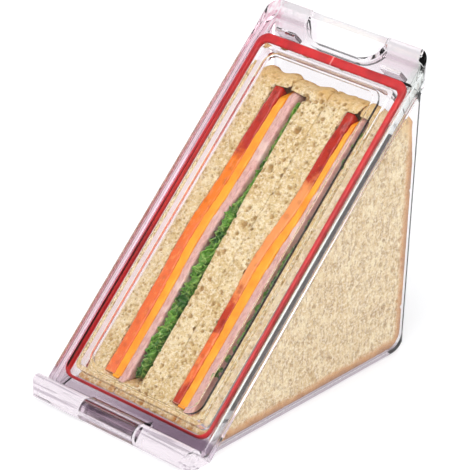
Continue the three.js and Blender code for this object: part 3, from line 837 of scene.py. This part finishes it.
@dataclass
class SoftSlab:
    """A slice of bread or a filling: its solid, remeshed and worked into an uneven soft shape.

    Waves and pores press the face in. The flat sides between neighbours swell a little so that they touch,
    and fillings are lengthened so that the slices of a row meet.
    """

    node: str
    layer: Layer
    voxel_mm: float
    sway_mm: float = 0.3
    sway_size_mm: float = 9.0
    pore_mm: float = 0.0
    pore_size_mm: float = 2.6
    pore_share: float = 0.5
    seed: float = 0.0
    tip_mm: float = 0.0
    swell_mm: float = 0.0
    reach_mm: float = 0.0
    craters: tuple[tuple[float, float, float, float], ...] = ()
    tip_v: tuple[float, float] = (146.0, 159.0)
    soft_above_v: float = 142.0
    tip_rounds: int = 24
    cut_rounds: int = 4
    flat_from: tuple[float, float] = (0.5, 0.9)
    pit_full_mm: float = 0.8

    def build(self) -> bpy.types.Object:
        """Make the slab from its CAD node.

        Returns:
            The new object.
        """
        source = joined_mesh(self.node)
        even = evened(as_mesh(source, "rough"), self.voxel_mm)
        if self.reach_mm > 0.0:
            self.lengthen(even)
        self.settle(even)
        self.work(even)
        name = f"{self.node}_soft"
        return show(name, as_mesh(even, name), self.layer, "body", self.node)

    def settle(self, even: bmesh.types.BMesh) -> None:
        """Sink the slice's upper end unevenly, and soften its corners there and along the cut.

        Args:
            even: The slice's mesh.
        """
        edge = []
        for vert in even.verts:
            x, v, d = off_slope(vert.co / MM)
            uneven = 0.75 + 0.6 * noise.noise(Vector((x / 6.0, self.seed, d / 9.0)))
            sunk = self.tip_mm * ease(*self.tip_v, v) * uneven
            vert.co -= UP * sunk * MM
            if d < CUT_DEPTH + 7.0:
                edge.append((vert, v, d))
        axes = {"use_axis_x": True, "use_axis_y": True, "use_axis_z": True}
        for number in range(self.tip_rounds):
            along_cut = number < self.cut_rounds
            chosen = [vert for vert, v, d in edge if v > self.soft_above_v or (along_cut and d < CUT_DEPTH + 2.5)]
            bmesh.ops.smooth_vert(even, verts=chosen, factor=0.5, **axes)

    def lengthen(self, even: bmesh.types.BMesh) -> None:
        """Lengthen the slice both ways along the slope, so that it meets the next one.

        Args:
            even: The slice's mesh.
        """
        places = [off_slope(vert.co / MM)[1] for vert in even.verts]
        low, high = min(places), max(places)
        for vert, v in zip(even.verts, places):
            share = (v - low) / (high - low) * 2.0 - 1.0
            vert.co += UP * share * self.reach_mm * MM

    def work(self, even: bmesh.types.BMesh) -> None:
        """Press the face in by soft waves and open pores, swell the flat sides, and mark how deep the pores and
        craters are, for painted shade in them.

        Args:
            even: The slice's mesh.
        """
        even.normal_update()
        pit_shade = even.verts.layers.float.new("pit_shade")
        moves = []
        for vert in even.verts:
            wave, hole = self.depth_at(vert.co / MM)
            flat = ease(*self.flat_from, abs(vert.normal.x))
            depth = wave * (1.0 - flat) + hole - self.swell_mm * flat
            # The mark holds how deep the pores and craters are; the bread paints shade in them by it.
            vert[pit_shade] = min(1.0, hole / self.pit_full_mm)
            moves.append(vert.normal * -depth * MM)
        for vert, move in zip(even.verts, moves):
            vert.co += move

    def depth_at(self, point: Vector) -> tuple[float, float]:
        """Find how far the face is pressed in at a point.

        Args:
            point: The point, in millimetres.

        Returns:
            The depths of the waves and of the pores, in millimetres.
        """
        shifted = point + SEED_STRIDE * self.seed
        wave = self.sway_mm * min(1.0, max(0.0, 0.5 + 0.5 * noise.noise(shifted / self.sway_size_mm)))
        depth = 0.0
        x, v, d = off_slope(point)
        for crater_x, crater_v, radius, deep in self.craters:
            if d < CUT_DEPTH + 3.0:
                away = math.hypot(x - crater_x, v - crater_v) * (1.0 + 0.25 * noise.noise(shifted / 1.5))
                depth = max(depth, deep * (1.0 - ease(radius * 0.4, radius, away)))
        if self.pore_mm > 0.0:
            bent = shifted + 0.5 * noise.noise_vector(shifted / 3.0)
            near, centres = noise.voronoi(bent / self.pore_size_mm)
            chosen = noise.cell(centres[0] * 7.3) * 0.5 + 0.5
            if chosen < self.pore_share:
                reach = 0.22 + 0.3 * chosen / self.pore_share
                depth = max(depth, self.pore_mm * (1.0 - ease(reach * 0.35, reach, near[0])))
        return wave, depth


@dataclass
class FrilledLeaf:
    """A lettuce leaf folded between the layers, frilled along the cut face."""

    node: str
    sheets: int
    low_v: float
    high_v: float
    depth: float
    lanes: tuple[tuple[float, float, float], ...]
    bushy_to: float = 102.0
    seed: int = 1
    thickness_mm: float = 0.3
    trim_mm: float = 5.4
    cell_mm: tuple[float, float] = (0.6, 1.0)

    def lane_at(self, v: float) -> tuple[float, float]:
        """Find the leaf's room at a place up the slope.

        Args:
            v: The distance up the slope, in millimetres.

        Returns:
            The middle and the half width of the room, in millimetres.
        """
        before, after = self.lanes[0], self.lanes[-1]
        for first, second in zip(self.lanes, self.lanes[1:]):
            if first[0] <= v <= second[0]:
                before, after = first, second
        share = ease(before[0], after[0], v) if after[0] > before[0] else 0.0
        low = before[1] + (after[1] - before[1]) * share
        high = before[2] + (after[2] - before[2]) * share
        return (low + high) / 2.0, (high - low) / 2.0 - self.thickness_mm

    def build(self) -> bpy.types.Object:
        """Make the leaf in its CAD node's place.

        Returns:
            The new object.
        """
        whole = bmesh.new()
        for number in range(self.sheets):
            self.add_sheet(whole, number)
        bmesh.ops.recalc_face_normals(whole, faces=whole.faces)
        bmesh.ops.solidify(whole, geom=whole.faces[:], thickness=self.thickness_mm * MM)
        bmesh.ops.recalc_face_normals(whole, faces=whole.faces)
        name = f"{self.node}_frilled"
        return show(name, as_mesh(whole, name), Layer.LETTUCE, "body", self.node)

    def add_sheet(self, whole: bmesh.types.BMesh, number: int) -> None:
        """Add one folded sheet of the leaf.

        Args:
            whole: The leaf so far.
            number: Which sheet this is.
        """
        along = int((self.high_v - self.low_v) / self.cell_mm[0])
        down = int(self.depth / self.cell_mm[1])
        made = bmesh.ops.create_grid(whole, x_segments=along, y_segments=down, size=0.5)
        sheet = made["verts"]
        phase = self.seed * 13.7 + number * 5.3
        for vert in sheet:
            v = self.low_v + (vert.co.x + 0.5) * (self.high_v - self.low_v)
            t = vert.co.y + 0.5
            middle, room = self.lane_at(v)
            frill = 1.0 - ease(0.05, 0.5, t)
            slow = noise.noise(Vector((v / 9.0, t * 1.5, phase)))
            quick = noise.noise(Vector((v / 2.6, t * 4.0, phase + 40.0)))
            tiny = noise.noise(Vector((v / 1.1, t * 12.0, phase + 80.0)))
            sway = 1.1 * slow + frill * (1.5 * quick + 0.5 * tiny)
            x = middle + room * max(-1.0, min(1.0, sway))
            edge = noise.noise(Vector((v / 3.4, phase, 3.0))) * 1.8 + noise.noise(Vector((v / 1.3, phase, 9.0)))
            sunk = 2.6 * ease(self.bushy_to - 10.0, self.bushy_to + 6.0, v)
            depth = CUT_DEPTH + 0.4 + sunk + frill * (edge + 0.4 * number) + t * self.depth
            vert.co = on_slope(x, v + frill * quick * 1.4, max(CUT_DEPTH - 1.2, depth))
        self.trim(whole, sheet)

    def trim(self, whole: bmesh.types.BMesh, sheet: list[bmesh.types.BMVert]) -> None:
        """Cut a sheet off short of the case's floor and back.

        Args:
            whole: The leaf so far.
            sheet: The sheet's points.
        """
        floor = Vector((0.0, 0.0, FLOOR_Z + self.trim_mm)), Vector((0.0, 0.0, -1.0))
        back = Vector((0.0, BACK_Y - self.trim_mm, 0.0)), Vector((0.0, 1.0, 0.0))
        for place, outward in (floor, back):
            faces = dict.fromkeys(face for vert in sheet if vert.is_valid for face in vert.link_faces)
            edges = dict.fromkeys(edge for face in faces for edge in face.edges)
            points = dict.fromkeys(vert for face in faces for vert in face.verts)
            cut = bmesh.ops.bisect_plane(
                whole, geom=[*faces, *edges, *points], plane_co=place * MM, plane_no=outward, clear_outer=True
            )
            sheet = [item for item in cut["geom"] if isinstance(item, bmesh.types.BMVert) and item.is_valid]


@dataclass
class Studio:
    """White floor and world, soft lamps, and the camera at the photograph's angle."""

    turn: float = 39.79
    height: float = 26.55
    roll: float = 2.58
    lens: float = 209.76
    place: tuple[float, float, float] = (0.619215, -0.739871, 0.545196)
    sensor: float = 36.0
    floor_reach: float = 3.0
    ceiling: float = 0.2
    ceiling_from: tuple[float, float] = (0.16, 0.5)
    sky_tint: Colour = (0.95, 0.97, 1.0)
    sky_strength: float = 0.62
    lamp_aim: tuple[float, float, float] = (0.0, 0.0, 0.05)
    lamps: tuple[tuple[str, tuple[float, float, float], float, float], ...] = (
        ("key_lamp", (0.2, -0.5, 0.95), 1.0, 6.9),
        ("side_lamp", (0.9, -0.1, 0.4), 0.5, 2.3),
        ("left_lamp", (-0.9, 0.15, 0.35), 0.5, 1.7),
    )

    def build(self) -> None:
        """Set the stage, the light and the camera."""
        self.lay_floor()
        self.light_world()
        for name, place, size, power in self.lamps:
            self.hang_lamp(name, place, size, power)
        self.set_camera()
        bpy.context.scene.view_settings.view_transform = "Standard"
        LOG.info("studio: floor, world, %d lamps and camera", len(self.lamps))

    def lay_floor(self) -> None:
        """Lay the white floor."""
        sheet = bmesh.new()
        bmesh.ops.create_grid(sheet, x_segments=4, y_segments=4, size=self.floor_reach)
        mesh = as_mesh(sheet, "floor")
        mesh.materials.append(StagePaper().build())
        floor = bpy.data.objects.new("floor", mesh)
        bpy.context.scene.collection.objects.link(floor)

    def light_world(self) -> None:
        """Light the scene evenly, and show white walls and a dark ceiling in the plastic."""
        world = bpy.data.worlds.new("studio_world")
        bpy.context.scene.world = world
        recipe = Recipe(world)
        heading = recipe.add("ShaderNodeTexCoord", output="Generated")
        rise = recipe.add("ShaderNodeSeparateXYZ", inputs={0: heading}, output="Z")
        low, high = self.ceiling_from
        inputs = {"Value": rise, "From Min": low, "From Max": high, "To Min": 1.0, "To Max": self.ceiling}
        walls = recipe.add("ShaderNodeMapRange", {"interpolation_type": "SMOOTHSTEP"}, inputs)
        white = {"Color": (1.0, 1.0, 1.0), "Strength": walls.most(recipe.is_ray("Camera"))}
        plain = recipe.add("ShaderNodeBackground", inputs=white)
        soft = recipe.add("ShaderNodeBackground", inputs={"Color": self.sky_tint, "Strength": self.sky_strength})
        inputs = {0: recipe.is_ray(*SEEN_BY), 1: soft, 2: plain}
        recipe.finish(recipe.add("ShaderNodeMixShader", inputs=inputs))

    def hang_lamp(self, name: str, place: tuple[float, float, float], size: float, power: float) -> None:
        """Hang a soft square lamp that faces the case.

        Args:
            name: The lamp's name.
            place: Where it hangs, in metres.
            size: Its side, in metres.
            power: Its power, in watts.
        """
        data = bpy.data.lights.new(name, "AREA")
        data.size = size
        data.energy = power
        lamp = bpy.data.objects.new(name, data)
        bpy.context.scene.collection.objects.link(lamp)
        lamp.location = place
        lamp.rotation_euler = (Vector(self.lamp_aim) - Vector(place)).to_track_quat("-Z", "Y").to_euler()

    def set_camera(self) -> None:
        """Put the camera at the photograph's viewing angle."""
        turn, height, roll = (math.radians(angle) for angle in (self.turn, self.height, self.roll))
        back = Vector((math.sin(turn) * math.cos(height), -math.cos(turn) * math.cos(height), math.sin(height)))
        right = Vector((math.cos(turn), math.sin(turn), 0.0))
        up = back.cross(right)
        side = right * math.cos(roll) + up * math.sin(roll)
        top = up * math.cos(roll) - right * math.sin(roll)
        data = bpy.data.cameras.new("camera")
        data.lens = self.lens
        data.sensor_width = self.sensor
        camera = bpy.data.objects.new("camera", data)
        bpy.context.scene.collection.objects.link(camera)
        turned = Matrix((side, top, back)).transposed().to_4x4()
        camera.matrix_world = Matrix.Translation(self.place) @ turned
        bpy.context.scene.camera = camera


CRATERS = (
    (-8.4, 150.0, 2.1, 2.4), (-3.7, 135.9, 1.9, 2.2), (-6.2, 118.0, 1.4, 1.6), (-3.2, 92.0, 1.6, 1.8),
    (-5.4, 61.0, 1.5, 1.7),
)
LANES_A = ((19.0, -13.4, -9.6), (34.0, -14.6, -8.2), (90.0, -15.1, -9.2), (112.0, -13.6, -10.4), (148.0, -12.6, -11.1))
LANES_B = ((19.0, 20.0, 21.2), (50.0, 19.8, 21.9), (90.0, 19.7, 22.0), (148.0, 21.2, 22.5))


def fillings() -> list[SoftSlab]:
    """List the bread slices, tomato, cheese and ham.

    Returns:
        The slabs, in the order in which they are built.
    """
    bread = [
        SoftSlab(
            f"bread_slice_{number}", Layer.BREAD, 0.6, 0.45, 7.0, pore, size, share,
            seed=number, tip_mm=3.4, swell_mm=swell, craters=CRATERS if number == 2 else (),
        )
        for number, pore, size, share, swell in (
            (1, 0.8, 2.0, 0.55, 0.0), (2, 1.5, 2.8, 0.65, 0.22), (3, 1.3, 2.5, 0.6, 0.22), (4, 0.9, 3.2, 0.45, 0.0)
        )
    ]
    tomato = [
        SoftSlab(f"tomato_slice_{name}", Layer.TOMATO, 0.6, 0.8, 5.0, seed=20.0 + number, swell_mm=0.15, reach_mm=1.4)
        for number, name in enumerate(("a1", "a2", "a3", "b1", "b2", "b3"))
    ]
    kinds = (("cheese_slice_a", Layer.CHEESE), ("cheese_slice_b", Layer.CHEESE), ("ham_slice_a", Layer.HAM),
             ("ham_slice_b", Layer.HAM))
    flat = [
        SoftSlab(node, layer, 0.6, 0.5, 7.0, seed=40.0 + number, swell_mm=0.15, reach_mm=1.6)
        for number, (node, layer) in enumerate(kinds)
    ]
    return bread + tomato + flat


def leaves() -> list[FrilledLeaf]:
    """List the lettuce leaves.

    Returns:
        The leaves, in the order in which they are built.
    """
    return [
        FrilledLeaf("lettuce_leaf_a1", 4, 19.0, 148.0, 24.0, LANES_A, seed=1),
        FrilledLeaf("lettuce_leaf_a2", 4, 19.0, 146.0, 24.0, LANES_A, seed=2),
        FrilledLeaf("lettuce_leaf_b", 2, 19.0, 148.0, 22.0, LANES_B, bushy_to=40.0, seed=3),
    ]


def main() -> None:
    """Build the studio, the case and the sandwiches."""
    logging.basicConfig(level=logging.INFO, format="%(name)s %(message)s")
    noise.seed_set(NOISE_SEED)
    Studio().build()
    case = [PlasticPiece("body_shell", "body"), PlasticPiece("lid", "lid"), GasketRing()]
    for part in case + fillings() + leaves():
        piece = part.build()
        LOG.info("%s: %d faces, stands for %s", piece.name, len(piece.data.polygons), part.node)


if __name__ == "__main__":
    main()
